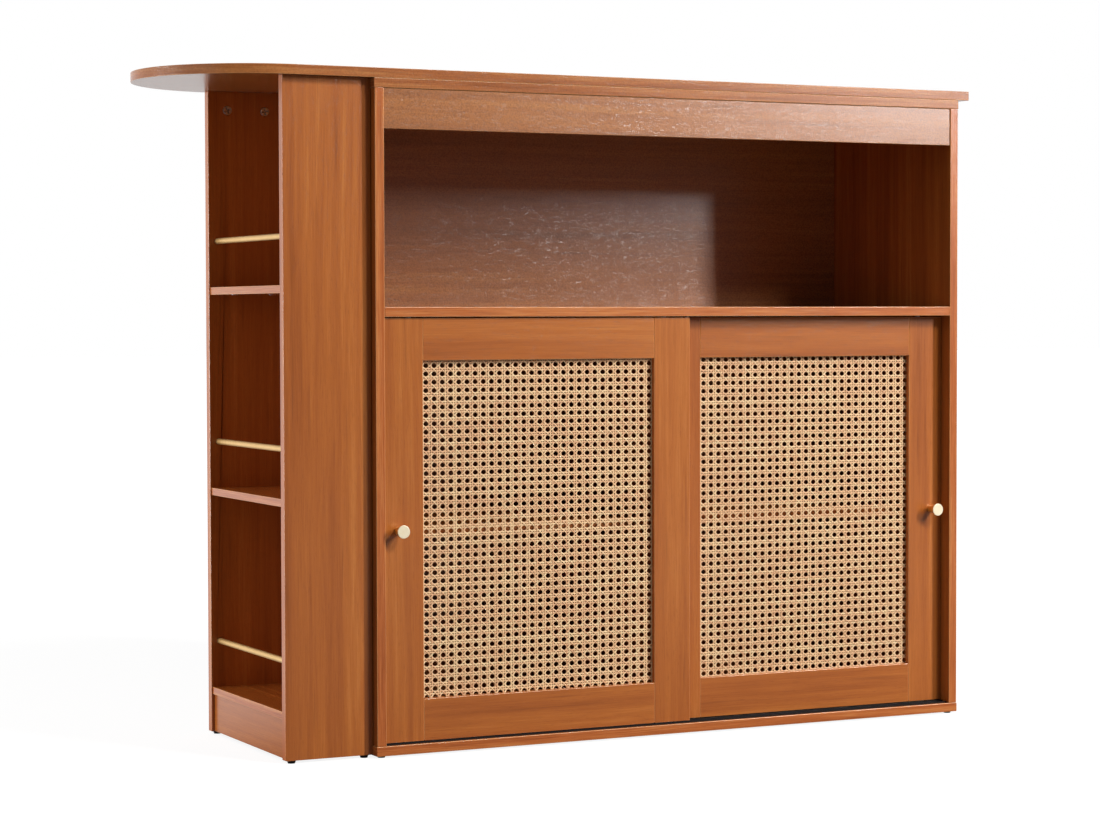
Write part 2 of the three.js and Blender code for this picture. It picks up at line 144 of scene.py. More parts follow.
def cherry_foil(start, along, across, band, greyed=0.0, dulled=0.0, speckle=0.0, gloss=0.72):
    """Printed cherry: noise stretched along the grain, in layers from broad figure to pores.

    The lines wander because a slow noise shifts them sideways. Where band is 1 the edge wears the
    stronger, more orange strip, and towards 2 a pale painted highlight lies on the arris. A greyed
    foil is mixed towards beige and a dulled one towards dark brown, and the speckle share is how
    far its fine stipple paints the colour lighter and darker, a painted speckle of sheen."""

    def layer(run, cross, depth, detail):
        """Noise with run cells to the metre along the grain, at its own depth."""
        place = start.add("CombineXYZ", {}, {"X": along * run, "Y": cross, "Z": depth})
        inputs = {"Vector": place, "Scale": 1.0, "Detail": detail, "Roughness": 0.55}
        return start.add("TexNoise", {"noise_dimensions": "3D"}, inputs)

    wander = layer(1.7, across * 5.0, 3.1, 2.0) - 0.5
    bent = across + wander * LINE_WANDER
    broad = layer(0.9, bent * 24.0, 11.3, 4.0)
    streak = layer(2.2, bent * 85.0, 23.7, 4.0)
    fibre = layer(14.0, bent * 620.0, 37.9, 2.0)
    pore = layer(70.0, bent * 1900.0, 51.5, 1.0)
    vein = layer(5.0, bent * 130.0, 67.7, 2.0)
    stipple = layer(380.0, across * 380.0, 83.3, 1.0)

    figure = broad * 0.45 + streak * 0.36 + fibre * 0.19
    face = start.add("ValToRGB", {"stops": FACE_TONES}, {0: figure})
    strip = start.add("ValToRGB", {"stops": EDGE_TONES}, {0: streak * 0.6 + fibre * 0.4})
    pit = start.math("MULTIPLY", pore - PORE_FROM, PORE_GAIN, clamp=True)
    dark_line = start.math("MULTIPLY", vein - VEIN_FROM, VEIN_GAIN, clamp=True)
    mark = start.math("MAXIMUM", pit * PORE_SHARE, dark_line * VEIN_SHARE)
    # Towards 2 the band lays a pale painted highlight on the arris.
    arris_highlight = start.math("SUBTRACT", band, 1.0, clamp=True)
    colour = mark.blend(band.blend(face, strip), paint(MARK_BROWN))
    colour = (arris_highlight * ARRIS_HIGHLIGHT_SHARE).blend(colour, paint(ARRIS_HIGHLIGHT_PALE))
    # The greyed share mixes the colour towards beige.
    colour = start.mix(greyed, colour, paint(GREYED_BEIGE))
    # The stipple paints the colour lighter and darker, a painted speckle of sheen, over the
    # dulling.
    dulled_and_sheen_speckle = stipple * -speckle + (dulled + speckle * 0.5)
    relief = fibre * FIBRE_HEIGHT + stipple * STIPPLE_HEIGHT - pit
    bump = {"Strength": 0.2, "Distance": 0.0002, "Height": relief}
    return {
        "Base Color": dulled_and_sheen_speckle.blend(colour, paint(DULLED_AND_SPECKLE_DARK)),
        "Roughness": 0.2 + fibre * 0.08,
        "Normal": start.add("Bump", {}, bump),
        "Specular IOR Level": gloss,
    }


def foil_on_grain(start, **print_run):
    """The foil laid by each piece's own grain attribute: along, across, and band."""
    grain = start.add("Attribute", {"attribute_name": "grain"}, out="Vector")
    split = start.add("SeparateXYZ", {}, {0: grain})
    return cherry_foil(start, split.out("X"), split.out("Y"), split.out("Z"), **print_run)


foil = finish("cherry_foil", foil_on_grain)

CORNER_STEPS = 3
ARRIS = 0.0010
ARRIS_LEANS = np.radians([72.0, 48.0, 24.0, 0.0])


def rounded_outline(corners, radius):
    """A closed outline with square corners, each swept by a quarter circle of its radius.

    A corner's arc turns from the incoming edge to the outgoing one, so inward corners are eased
    the same way. Gives points and outward normals, going counter-clockwise."""
    corner = np.array(corners, float)
    radius = np.broadcast_to(radius, len(corner))[:, None]
    into = corner - np.roll(corner, 1, 0)
    into /= np.linalg.norm(into, axis=1, keepdims=True)
    onward = np.roll(into, -1, 0)
    turn = np.linspace(0, np.pi / 2, CORNER_STEPS + 1)[None, :, None]
    centre = (corner + radius * (onward - into))[:, None]
    sweep = into[:, None] * np.sin(turn) - onward[:, None] * np.cos(turn)
    outward = np.stack([into[:, 1], -into[:, 0]], 1)
    next_outward = np.roll(outward, -1, 0)
    normals = outward[:, None] * np.cos(turn) + next_outward[:, None] * np.sin(turn)
    return (centre + radius[:, None] * sweep).reshape(-1, 2), normals.reshape(-1, 2)


def ring_shell(name, grid, normals, ends):
    """Closed rings joined by quads, with one flat face on the first and on the last ring.

    grid[r, n] is point n of ring r. Gives the object, the vertex at each face corner, and the
    distance round the ring at each corner of the quads."""
    rows, count = grid.shape[:2]
    index = np.arange(rows * count).reshape(rows, count)
    beside = np.roll(index, -1, 1)
    quads = np.stack([index[:-1], beside[:-1], beside[1:], index[1:]], -1).reshape(-1, 4)
    caps = [index[0, ::-1], index[-1]]
    mesh = bpy.data.meshes.new(name)
    faces = quads.tolist() + [cap.tolist() for cap in caps]
    mesh.from_pydata(grid.reshape(-1, 3).tolist(), [], faces)
    mesh.polygons.foreach_set("use_smooth", np.ones(len(faces), bool))
    corner = np.concatenate([quads.ravel(), *caps])
    turned_out = normals.reshape(-1, 3)[corner]
    turned_out[-2 * count : -count] = ends[0]
    turned_out[-count:] = ends[1]
    mesh.normals_split_custom_set(turned_out.tolist())
    middle = grid[rows // 2]
    step = np.linalg.norm(np.roll(middle, -1, 0) - middle, axis=1)
    reach = np.concatenate([[0], np.cumsum(step)])
    around = np.stack([reach[:-1], reach[1:], reach[1:], reach[:-1]], -1)
    around = np.tile(around, (rows - 1, 1, 1)).ravel()
    made = bpy.data.objects.new(name, mesh)
    bpy.context.scene.collection.objects.link(made)
    return made, corner, around


def carried_outline(name, outline, span, arris, axes):
    """An outline in two axes carried along the third, drawn in at both ends by a quarter circle.

    A ring at lean angle q stands arris times (1 - sin q) inside the end and is drawn in by arris
    times (1 - cos q) along its own normals. Gives the shell and its grid of points."""
    points, normals = outline
    tilt = np.concatenate([-ARRIS_LEANS, ARRIS_LEANS[::-1]])
    drawn_in = arris * (1 - np.cos(tilt))
    stand = arris * (1 - np.sin(ARRIS_LEANS))
    level = np.concatenate([span[0] + stand, span[1] - stand[::-1]])
    local = np.empty((len(level), len(points), 3))
    local[..., :2] = points[None] - drawn_in[:, None, None] * normals[None]
    local[..., 2] = level[:, None]
    facing = np.empty_like(local)
    facing[..., :2] = normals[None] * np.cos(tilt)[:, None, None]
    facing[..., 2] = np.sin(tilt)[:, None]
    if np.linalg.det(np.eye(3)[list(axes)]) < 0:
        local, facing = local[:, ::-1], facing[:, ::-1]
    grid, outward = np.empty_like(local), np.empty_like(local)
    grid[..., list(axes)] = local
    outward[..., list(axes)] = facing
    end = np.eye(3)[axes[2]]
    return ring_shell(name, grid, outward, (-end, end)), grid


ARRIS_FROM, ARRIS_TO = 0.15, 0.985
BAND_BELOW = 0.5
GRAIN_SHIFT = np.array([0.83, 0.29])
board_numbers = itertools.count(1)


def lay_grain(made, corner, around, grid, thick, grain, carry):
    """Writes each corner's place on the foil: along the grain, across it, and the band.

    Round the carried sides the foil is wrapped: along the carry on a stick, round the rim on a
    board. On the end faces of the carry it lies flat, along the grain and across it. The band is 1
    on a narrow face and 2 on an arris. Each board is cut from its own place on the foil."""
    place = grid.reshape(-1, 3)[corner]
    across = 3 - thick - grain
    wide = len(around)
    laid = np.empty((len(corner), 3))
    laid[:, 0], laid[:, 1] = place[:, grain], place[:, across]
    if carry == grain:
        laid[:wide, 0], laid[:wide, 1] = place[:wide, carry], around
    else:
        laid[:wide, 0], laid[:wide, 1] = around, place[:wide, carry]
    normals = np.empty(len(corner) * 3, np.float32)
    made.data.corner_normals.foreach_get("vector", normals)
    facing = np.abs(normals.reshape(-1, 3)[:, thick])
    on_arris = (facing > ARRIS_FROM) & (facing < ARRIS_TO)
    laid[:, 2] = np.where(on_arris, 2.0, facing < BAND_BELOW)
    laid[:, :2] += GRAIN_SHIFT * next(board_numbers)
    shown = made.data.attributes.new("grain", "FLOAT_VECTOR", "CORNER")
    shown.data.foreach_set("vector", laid.astype(np.float32).ravel())


def stand_for(made, node, body, material):
    """The piece takes the CAD node's place, rides on its body and wears the material."""
    made.data.materials.append(material)
    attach(made, body)
    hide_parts(node)


def lay_board(node, grain, material=foil):
    """A board as big as its node: its broad outline carried through its thickness."""
    low, high = (np.array(corner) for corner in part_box(node))
    thick = int(np.argmin(high - low))
    first, second = (axis for axis in range(3) if axis != thick)
    (a0, b0), (a1, b1) = low[[first, second]], high[[first, second]]
    outline = rounded_outline([(a0, b0), (a1, b0), (a1, b1), (a0, b1)], ARRIS)
    axes = (first, second, thick)
    span = (low[thick], high[thick])
    shell, grid = carried_outline(f"{node}_board", outline, span, ARRIS, axes)
    lay_grain(*shell, grid, thick, grain, thick)
    stand_for(shell[0], node, "cabinet", material)


ALONG_X, ALONG_Y, ALONG_Z = 0, 1, 2
lay_board("cabinet_bottom_panel", ALONG_X)

# Cabinet sides: two upright boards of the same faced chipboard, grain upright, dowelled and drawn
# down on the floor panel by hidden fittings.

lay_board("cabinet_left_side", ALONG_Z)
lay_board("cabinet_right_side", ALONG_Z)

# Inside of the cupboard: a centre divider with a shelf on each side of it, and the back in two
# panels, above and below the middle shelf. All are faced board, and the back wears the foil
# mixed darker and greyer, whose stipple also paints a speckle of sheen into its colour.


def embossed_on_grain(start):
    """The foil mixed darker and greyer, with a strong painted speckle of sheen."""
    return foil_on_grain(start, greyed=0.2, dulled=0.12, speckle=1.0, gloss=0.9)


embossed_foil = finish("embossed_cherry_foil", embossed_on_grain)
lay_board("lower_back_panel", ALONG_X, embossed_foil)
lay_board("centre_divider", ALONG_Z)
lay_board("inner_shelf_left", ALONG_X)
lay_board("inner_shelf_right", ALONG_X)
lay_board("upper_back_panel", ALONG_X, embossed_foil)

# Middle shelf: the faced board over the doors, with two slots milled along its underside in which
# the doors' guide pins run. It is dowelled between the sides.

GUIDE_SLOT_DEPTH = 0.006
GUIDE_SLOT_EASE = 0.0005
shelf_low, shelf_high = (np.array(corner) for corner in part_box("middle_shelf"))
slot_edges = [
    edge
    for door in ("left_door", "right_door")
    for edge in (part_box(f"{door}_left_guide")[0].y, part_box(f"{door}_left_guide")[1].y)
]
slot_edges = np.array(slot_edges) + GUIDE_SLOT_EASE * np.array([-1, 1, -1, 1])
under, over, slot_top = shelf_low[2], shelf_high[2], shelf_low[2] + GUIDE_SLOT_DEPTH
shelf_section = rounded_outline(
    [
        (shelf_low[1], under),
        (slot_edges[0], under),
        (slot_edges[0], slot_top),
        (slot_edges[1], slot_top),
        (slot_edges[1], under),
        (slot_edges[2], under),
        (slot_edges[2], slot_top),
        (slot_edges[3], slot_top),
        (slot_edges[3], under),
        (shelf_high[1], under),
        (shelf_high[1], over),
        (shelf_low[1], over),
    ],
    ARRIS,
)
shell, grid = carried_outline(
    "middle_shelf_board", shelf_section, (shelf_low[0], shelf_high[0]), ARRIS, (1, 2, 0)
)
lay_grain(*shell, grid, 2, ALONG_X, ALONG_X)
stand_for(shell[0], "middle_shelf", "cabinet", foil)

# Apron and cabinet top: a long board on edge under the front of the top panel, which closes the
# carcase and carries the worktop. The top panel and the worktop wear a darker, less glossy copy
# of the foil with a faint painted speckle of sheen.


TOP_FACING, TOP_MATT = 0.9, 0.45


def satin_on_grain(start):
    """The boards that take most wear: darker, less glossy, a faint painted sheen speckle, matt on
    top.
    """
    satin = foil_on_grain(start, greyed=0.15, dulled=0.2, speckle=0.5, gloss=0.4)
    facing = start.add("SeparateXYZ", {}, {0: start.add("NewGeometry", {}, {}, out="Normal")})
    on_top = start.math("GREATER_THAN", facing.out("Z"), TOP_FACING)
    satin["Roughness"] = satin["Roughness"] + on_top * TOP_MATT
    return satin


satin_foil = finish("satin_cherry_foil", satin_on_grain)
lay_board("front_apron", ALONG_X, embossed_foil)
lay_board("cabinet_top_panel", ALONG_X, satin_foil)

# Foot glides and door track: black moulded plastic. The glides are nailed under the boards, and the
# double track is screwed to the cupboard floor.


def black_moulding(start):
    """Near black with a slow mottle, faintly grained like a spark-eroded mould."""
    where = start.add("TexCoord", {}, {}, out="Object")
    cloud = start.add("TexNoise", {}, {"Vector": where, "Scale": 60.0, "Detail": 3.0})
    grit = start.add("TexNoise", {}, {"Vector": where, "Scale": 2600.0, "Detail": 2.0})
    bump = {"Strength": 0.2, "Distance": 0.0001, "Height": grit}
    return {
        "Base Color": cloud.blend(paint("060607"), paint("0e0e10")),
        "Roughness": 0.5 + grit * 0.2,
        "Specular IOR Level": 0.2,
        "Normal": start.add("Bump", {}, bump),
    }


def dress(node, material):
    """A CAD node whose shape is right keeps it and wears a better material."""
    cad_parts[node].material_slots[0].material = material


black_plastic = finish("black_moulding", black_moulding)
dress("bottom_track", black_plastic)
for row in ("front", "rear"):
    for side in ("left", "right"):
        dress(f"cabinet_foot_{row}_{side}", black_plastic)
    for side in ("outer", "inner"):
        dress(f"end_foot_{row}_{side}", black_plastic)

# End unit's uprights: a front and a rear board of faced chipboard, bored for the cam locks and for
# the gallery rails. They keep the CAD form with its bores, and their edges are eased.


BROAD_LIMIT, NARROW_LIMIT = 0.2, 0.8
ARRIS_MIDDLE, ARRIS_REACH = 0.5, 0.3
ROUND_THE_EDGE = 1.7


def foil_on_upright(start):
    """The foil on an upright: along is the height, and the narrow faces are the banded ones."""
    where = start.add("TexCoord", {}, {}, out="Object")
    place = start.add("SeparateXYZ", {}, {0: where})
    facing = start.add("SeparateXYZ", {}, {0: start.add("NewGeometry", {}, {}, out="Normal")})
    narrow = start.math("ABSOLUTE", facing.out("X"))
    band = start.math("GREATER_THAN", narrow, NARROW_LIMIT)
    # An arris, half way between broad and narrow, takes the pale painted highlight.
    arris_highlight = start.math("COMPARE", narrow, ARRIS_MIDDLE, ARRIS_REACH)
    across = place.out("X") + place.out("Y") * ROUND_THE_EDGE
    return cherry_foil(start, place.out("Z"), across, band + arris_highlight * 2.0)


WELD_REACH, EASED_WIDTH, EASED_FROM = 0.00001, 0.0008, np.radians(40)


def ease_edges(node):
    """Joins the CAD node's loose triangles for show and eases its edges by a small chamfer."""
    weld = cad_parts[node].modifiers.new("joined", "WELD")
    weld.merge_threshold = WELD_REACH
    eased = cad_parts[node].modifiers.new("eased", "BEVEL")
    eased.width, eased.segments = EASED_WIDTH, 2
    eased.limit_method, eased.angle_limit = "ANGLE", EASED_FROM


upright_foil = finish("cherry_foil_upright", foil_on_upright)
for node in ("end_front_panel", "end_rear_panel"):
    dress(node, upright_foil)
    ease_edges(node)

# End unit's shelves and kickboard: three 12 mm boards between the uprights, and a board on edge
# under the lowest one. The upper shelf is bored from below for its cam locks.


def foil_on_shelf(start):
    """The foil on the bored shelf: along is the depth, and the upright faces are banded."""
    where = start.add("TexCoord", {}, {}, out="Object")
    place = start.add("SeparateXYZ", {}, {0: where})
    facing = start.add("SeparateXYZ", {}, {0: start.add("NewGeometry", {}, {}, out="Normal")})
    level = start.math("ABSOLUTE", facing.out("Z"))
    band = start.math("LESS_THAN", level, BROAD_LIMIT)
    # An arris, half way between broad and narrow, takes the pale painted highlight.
    arris_highlight = start.math("COMPARE", level, ARRIS_MIDDLE, ARRIS_REACH)
    across = place.out("X") + place.out("Z") * ROUND_THE_EDGE
    return cherry_foil(start, place.out("Y"), across, band + arris_highlight * 2.0)


lay_board("kickboard", ALONG_Y)
lay_board("end_shelf_bottom", ALONG_Y)
lay_board("end_shelf_middle", ALONG_Y)
dress("end_shelf_upper", finish("cherry_foil_shelf", foil_on_shelf))
ease_edges("end_shelf_upper")

# Cam locks: die-cast zinc drums with a cross slot, pressed into bores in the uprights and in the
# upper shelf, and turned to draw the boards together.


def cast_zinc(start):
    """Dull grey casting: a fine grain and slow patches of duller metal."""
    where = start.add("TexCoord", {}, {}, out="Object")
    patch = start.add("TexNoise", {}, {"Vector": where, "Scale": 300.0, "Detail": 3.0})
    grit = start.add("TexNoise", {}, {"Vector": where, "Scale": 3000.0, "Detail": 2.0})
    bump = {"Strength": 0.15, "Distance": 0.0001, "Height": grit}
    return {
        "Base Color": patch.blend(paint("a4a5a8"), paint("cfd0d2")),
        "Metallic": 1.0,
        "Roughness": 0.26 + patch * 0.2,
        "Normal": start.add("Bump", {}, bump),
    }


CAM_CHAMFER = 0.0004
CAM_SLOT_REACH, CAM_SLOT_HALF, CAM_SLOT_DEPTH, CAM_LIP = 0.7, 0.0008, 0.003, 0.0007
CAM_RINGS, CAM_STEPS, CAM_PIP = 24, 96, 0.04
CAM_TURNS = {"outer": 0.5, "inner": 0.2}


def slotted_drum(node, axes, outward_sign, turned_by):
    """A drum with a cross slot in its face, on rings that go from its back to its face's middle.

    The face sinks by the slot's depth where a point lies within half a slot's width of an arm's
    line and within the arm's reach. Both limits are spread over the width of the lip."""
    low, high = (np.array(corner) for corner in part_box(node))
    first, second, out = axes
    radius, length = (high[first] - low[first]) / 2, high[out] - low[out]
    wall = radius - CAM_CHAMFER * np.array([1, 0, 0, 1])
    wall_height = np.array([0, CAM_CHAMFER, length - CAM_CHAMFER, length])
    face = np.linspace(wall[-1] - CAM_CHAMFER, CAM_PIP * radius, CAM_RINGS)
    ring = np.concatenate([wall, face])[:, None]
    angle = np.linspace(0, 2 * np.pi, CAM_STEPS, endpoint=False)
    arm_run = np.abs(ring * np.cos(angle - turned_by))
    arm_off = np.abs(ring * np.sin(angle - turned_by))
    near, far = np.minimum(arm_run, arm_off), np.maximum(arm_run, arm_off)
    in_arm = np.clip((CAM_SLOT_HALF - near) / CAM_LIP + 0.5, 0, 1)
    in_reach = np.clip((CAM_SLOT_REACH * radius - far) / CAM_LIP + 0.5, 0, 1)
    height = np.concatenate([wall_height, np.full(CAM_RINGS, length)])[:, None]
    height = height - CAM_SLOT_DEPTH * in_arm * in_reach
    grid = np.empty((*height.shape, 3))
    grid[..., first] = (low[first] + high[first]) / 2 + ring * np.cos(angle)
    grid[..., second] = (low[second] + high[second]) / 2 + ring * np.sin(angle)
    grid[..., out] = (low[out] if outward_sign > 0 else high[out]) + outward_sign * height
    round_ring = np.roll(grid, -1, 1) - np.roll(grid, 1, 1)
    normals = np.cross(round_ring, np.gradient(grid, axis=0))
    normals /= np.linalg.norm(normals, axis=-1, keepdims=True)
    end = outward_sign * np.eye(3)[out]
    drum = ring_shell(f"{node}_drum", grid, normals, (-end, end))[0]
    stand_for(drum, node, "cabinet", zinc)


zinc = finish("cast_zinc", cast_zinc)
for row, axes, outward_sign in (("front", (2, 0, 1), 1), ("rear", (0, 2, 1), -1)):
    for side, turned_by in CAM_TURNS.items():
        slotted_drum(f"cam_lock_{row}_{side}", axes, outward_sign, turned_by)
        slotted_drum(f"shelf_cam_lock_{row}_{side}", (1, 0, 2), -1, turned_by)

# Gallery rails: drawn brass-plated rods, one over each end shelf, held in blind bores in the two
# uprights. Drawing leaves fine lines along them.


def satin_brass(start):
    """Pale plated brass: slow changes of tone and fine scratches stretched along Y."""
    where = start.add("TexCoord", {}, {}, out="Object")
    drawn = start.add("Mapping", {}, {"Vector": where, "Scale": (1.0, 0.02, 1.0)})
    line = start.add("TexNoise", {}, {"Vector": drawn, "Scale": 5000.0, "Detail": 2.0})
    cloud = start.add("TexNoise", {}, {"Vector": where, "Scale": 45.0, "Detail": 2.0})
    bump = {"Strength": 0.08, "Distance": 0.0001, "Height": line}
    return {
        "Base Color": cloud.blend(paint("cfa764"), paint("e0ba7e")),
        "Metallic": 0.7,
        "Roughness": 0.34 + line * 0.14,
        "Normal": start.add("Bump", {}, bump),
    }


TURNED_STEPS = 56


def turned(name, profile, centre):
    """A profile of radius and height turned about an axis along -Y through the centre.

    Its outward normals are the profile's own slope turned a quarter circle."""
    radius, height = profile[:, 0], profile[:, 1]
    slope = np.gradient(profile, axis=0)
    slope /= np.linalg.norm(slope, axis=1, keepdims=True)
    angle = np.linspace(0, 2 * np.pi, TURNED_STEPS, endpoint=False)
    spread = np.stack([np.cos(angle), 0 * angle, np.sin(angle)], -1)
    away = np.array([0.0, -1.0, 0.0])
    grid = radius[:, None, None] * spread + height[:, None, None] * away + np.array(centre)
    outward = slope[:, 1, None, None] * spread - slope[:, 0, None, None] * away
    return ring_shell(name, grid, outward, (-away, away))[0]


brass = finish("satin_brass", satin_brass)
RAIL_END_ROUND = 0.0008
RAIL_END_LEANS = np.radians([80, 55, 30, 0])
RAIL_INSET, RAIL_RINGS = 0.02, 9
for level in ("upper", "middle", "bottom"):
    low, high = (np.array(corner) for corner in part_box(f"gallery_rail_{level}"))
    radius, length = (high[0] - low[0]) / 2, high[1] - low[1]
    drawn_in = RAIL_END_ROUND * (1 - np.cos(RAIL_END_LEANS))
    stand = RAIL_END_ROUND * (1 - np.sin(RAIL_END_LEANS))
    straight = np.linspace(RAIL_INSET, length - RAIL_INSET, RAIL_RINGS)
    run = np.concatenate([stand, straight, length - stand[::-1]])
    girth = radius - np.concatenate([drawn_in, np.zeros(RAIL_RINGS), drawn_in[::-1]])
    foot = ((low[0] + high[0]) / 2, high[1], (low[2] + high[2]) / 2)
    rod = turned(f"gallery_rail_{level}_rod", np.stack([girth, run], 1), foot)
    stand_for(rod, f"gallery_rail_{level}", "cabinet", brass)

# Worktop: one long slab of the faced board over cabinet and end unit, its left end cut to a half
# circle. The band is bent round that end, so its lines follow the curve.

WORKTOP_ARRIS = 0.0009
ROUND_END_STEPS = 96
top_low, top_high = (np.array(corner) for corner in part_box("worktop"))
end_radius = (top_high[1] - top_low[1]) / 2
end_centre = np.array([top_low[0] + end_radius, (top_low[1] + top_high[1]) / 2])
bend = np.linspace(np.pi / 2, 1.5 * np.pi, ROUND_END_STEPS + 1)
rim_normals = np.stack([np.cos(bend), np.sin(bend)], 1)
rim = end_centre + end_radius * rim_normals
square, square_normals = rounded_outline(
    [tuple(top_low[:2]), (top_high[0], top_low[1]), tuple(top_high[:2]), (top_low[0], top_high[1])],
    WORKTOP_ARRIS,
)
right_end = slice(CORNER_STEPS + 1, 3 * (CORNER_STEPS + 1))
slab_outline = (
    np.concatenate([square[right_end], rim]),
    np.concatenate([square_normals[right_end], rim_normals]),
)
shell, grid = carried_outline(
    "worktop_slab", slab_outline, (top_low[2], top_high[2]), WORKTOP_ARRIS, (0, 1, 2)
)
lay_grain(*shell, grid, 2, ALONG_X, 2)
stand_for(shell[0], "worktop", "cabinet", satin_foil)

# Door frames: two stiles and two rails for each sliding door, wrapped in the same foil, grooved
# along their inner edges for the cane. The rails are set between the full-height stiles.

GROOVE_DEPTH = 0.008
GROOVE_EASE = 0.0003
BAR_ARRIS, GROOVE_ARRIS = 0.0011, 0.0002
BAR_ARRISES = np.array([BAR_ARRIS] * 2 + [GROOVE_ARRIS] * 4 + [BAR_ARRIS] * 2)
for door in ("left_door", "right_door"):
    cane_low, cane_high = (np.array(corner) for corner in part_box(f"{door}_cane"))
    groove = (cane_low[1] - GROOVE_EASE, cane_high[1] + GROOVE_EASE)
    for part, inner, grain in (
        ("left_stile", 1, ALONG_Z),
        ("right_stile", -1, ALONG_Z),
        ("bottom_rail", 1, ALONG_X),
        ("top_rail", -1, ALONG_X),
    ):
        low, high = (np.array(corner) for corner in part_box(f"{door}_{part}"))
        wide = 2 - grain
        back, face = (low[wide], high[wide]) if inner > 0 else (high[wide], low[wide])
        floor_of_groove = face - inner * GROOVE_DEPTH
        corners = [
            (back, low[1]),
            (face, low[1]),
            (face, groove[0]),
            (floor_of_groove, groove[0]),
            (floor_of_groove, groove[1]),
            (face, groove[1]),
            (face, high[1]),
            (back, high[1]),
        ]
        section = rounded_outline(corners if inner > 0 else corners[::-1], BAR_ARRISES)
        axes = (wide, 1, grain)
        shell, grid = carried_outline(
            f"{door}_{part}_bar", section, (low[grain], high[grain]), BAR_ARRIS, axes
        )
        lay_grain(*shell, grid, 1, grain, grain)
        stand_for(shell[0], f"{door}_{part}", door, foil)

# Cane sheets: half-inch chair cane, split from rattan and woven six ways: pairs upright, pairs
# level, and two diagonals that cross between the gaps. The sheet is wedged in the frame's groove.

CANE_PITCH = np.array([0.01395, 0.01282])
PAIR_SPREAD = np.array([0.0019, 0.0017])
PAIR_WIDTH = 0.0024
SLANT_WIDTH = 0.0022
CANE_THICKNESS = 0.0007
PAIR_LIFT = 0.0006
SLANT_LIFT = 0.0007
STRAND_STEP = 0.0021
SLANT_MARGIN = 0.3
SECTION_ACROSS = np.array([-0.5, -0.3, 0.3, 0.5, 0.0])
SECTION_PROUD = np.array([-0.1, 0.5, 0.5, -0.1, -0.5])
FIRST_GAP = {"left_door": (0.0088, -0.0083), "right_door": (0.0113, -0.0039)}
strand_tones = np.random.default_rng(12)


def split_cane(start):
    """Straw with a tone of its own for each strand, fibres along it and a glossy skin."""
    strand = start.add("Attribute", {"attribute_name": "strand"}, out="Vector")
    part = start.add("SeparateXYZ", {}, {0: strand})
    run, side, tone = (part.out(axis) for axis in "XYZ")
    place = start.add("CombineXYZ", {}, {"X": run * 40.0, "Y": side * 2200.0, "Z": tone * 90.0})
    fibre = start.add("TexNoise", {}, {"Vector": place, "Scale": 1.0, "Detail": 3.0})
    spot_place = start.add("CombineXYZ", {}, {"X": run * 55.0, "Y": side * 90.0, "Z": tone * 50.0})
    spot = start.add("TexNoise", {}, {"Vector": spot_place, "Scale": 1.0, "Detail": 2.0})
    stops = [(0.2, "d9a376"), (0.45, "e8b98a"), (0.65, "ecc594"), (0.85, "f2d6a6")]
    straw = start.add("ValToRGB", {"stops": stops}, {0: tone * 0.5 + fibre * 0.5})
    browned = start.math("MULTIPLY", spot - 0.56, 4.0, clamp=True)
    bump = {"Strength": 0.3, "Distance": 0.0001, "Height": fibre}
    return {
        "Base Color": (browned * 0.5).blend(straw, paint("b9774c")),
        "Roughness": 0.42 + fibre * 0.2,
        "Normal": start.add("Bump", {}, bump),
    }


def weave_strands(name, start, end, lift, width, level):
    """Strands laid straight from start to end in the sheet's plane, each a flat lens in section.

    Points stand about a sixth of a pitch apart. Each leaves the plane by lift, which rises and
    sinks with the crossings, and a ring of section points closes round it."""
    path = end - start
    length = np.linalg.norm(path, axis=1)
    count = np.ceil(length / STRAND_STEP).astype(int) + 2
    first = np.cumsum(count) - count
    which = np.repeat(np.arange(len(start)), count)
    local = np.arange(len(which)) - first[which]
    share = local / (count[which] - 1)
    centre = start[which] + share[:, None] * path[which]
    heading = (path / length[:, None])[which]
    side = np.stack([-heading[:, 1], heading[:, 0]], 1)
    across = width * SECTION_ACROSS
    proud = CANE_THICKNESS * SECTION_PROUD
    flat = centre[:, None] + across[None, :, None] * side[:, None]
    deep = level + lift(centre, which)[:, None] - proud[None]
    points = np.stack([flat[..., 0], deep, flat[..., 1]], -1)
    joined = np.flatnonzero(which[:-1] == which[1:])
    sides = len(across)
    ring = np.arange(sides)
    near = joined[:, None] * sides + ring
    near_next = joined[:, None] * sides + np.roll(ring, -1)
    quads = np.stack([near, near_next, near_next + sides, near + sides], -1).reshape(-1, 4)
    heads = first[:, None] * sides + ring[::-1]
    tails = (first + count - 1)[:, None] * sides + ring
    mesh = bpy.data.meshes.new(name)
    faces = quads.tolist() + heads.tolist() + tails.tolist()
    mesh.from_pydata(points.reshape(-1, 3).tolist(), [], faces)
    mesh.polygons.foreach_set("use_smooth", np.ones(len(faces), bool))
    tone = strand_tones.random(len(start))
    strand = np.empty((len(which), sides, 3))
    strand[..., 0] = (share * length[which])[:, None]
    strand[..., 1] = across
    strand[..., 2] = tone[which][:, None]
    shown = mesh.attributes.new("strand", "FLOAT_VECTOR", "POINT")
    shown.data.foreach_set("vector", strand.astype(np.float32).ravel())
    made = bpy.data.objects.new(name, mesh)
    bpy.context.scene.collection.objects.link(made)
    return made


